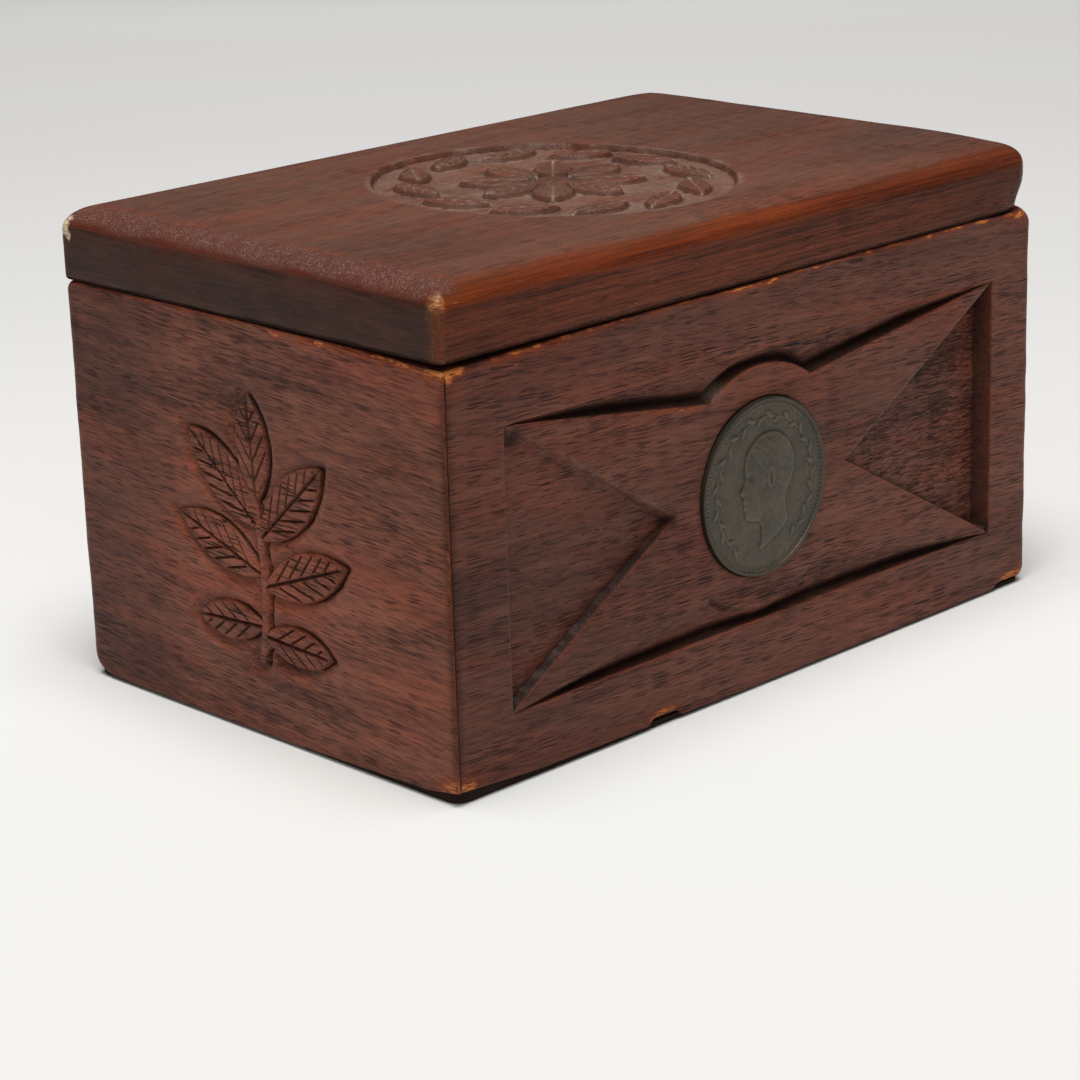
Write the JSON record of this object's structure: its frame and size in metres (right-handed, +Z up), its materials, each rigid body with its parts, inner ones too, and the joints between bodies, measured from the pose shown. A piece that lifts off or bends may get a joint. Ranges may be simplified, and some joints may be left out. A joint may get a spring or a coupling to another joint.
{
  "type": "ditty box",
  "caption": "Small mitred hardwood keepsake box: hinged single-board lid with a carved oval, an envelope relief sealed with a bronze coin on the front, a carved leaf sprig on one end.",
  "frame": {"origin": "middle of the bottom board's underside, on the surface the box stands on", "axes": "+X along the box to the right of someone facing the carved front, +Y from front to back, +Z up"},
  "size_m": [0.1464, 0.0978, 0.0835],
  "materials": {
    "wall_wood": "oiled open-pored reddish-brown hardwood, worn at the arrises",
    "lid_wood": "oiled and handled reddish-brown hardwood, glossy along the front round-over",
    "board_wood": "bare planed wood, darkened underneath",
    "coin_bronze": "dark toned bronze, dull",
    "hinge_brass": "aged pressed brass",
    "hinge_pin_steel": "dull steel",
    "screw_brass": "aged brass, slotted",
    "nail_steel": "dark, lightly rusted"
  },
  "bodies": {
    "case": {"front_wall": "wall_wood", "right_wall": "wall_wood", "back_wall": "wall_wood", "left_wall": "wall_wood", "bottom_board": "board_wood", "bottom_pins": "nail_steel", "coin": "coin_bronze", "hinge_left_case_leaf": "hinge_brass", "hinge_left_pin": "hinge_pin_steel", "hinge_right_case_leaf": "hinge_brass", "hinge_right_pin": "hinge_pin_steel", "case_hinge_screws": "screw_brass"},
    "lid": {"lid_board": "lid_wood", "hinge_left_lid_leaf": "hinge_brass", "hinge_right_lid_leaf": "hinge_brass", "lid_hinge_screws": "screw_brass"}
  },
  "joints": [
    {"name": "lid_hinge", "type": "hinge", "parent": "case", "child": "lid", "pos_m": [0, 0.04865, 0.0711], "axis": [-1, 0, 0], "range_deg": [0, 175]}
  ]
}
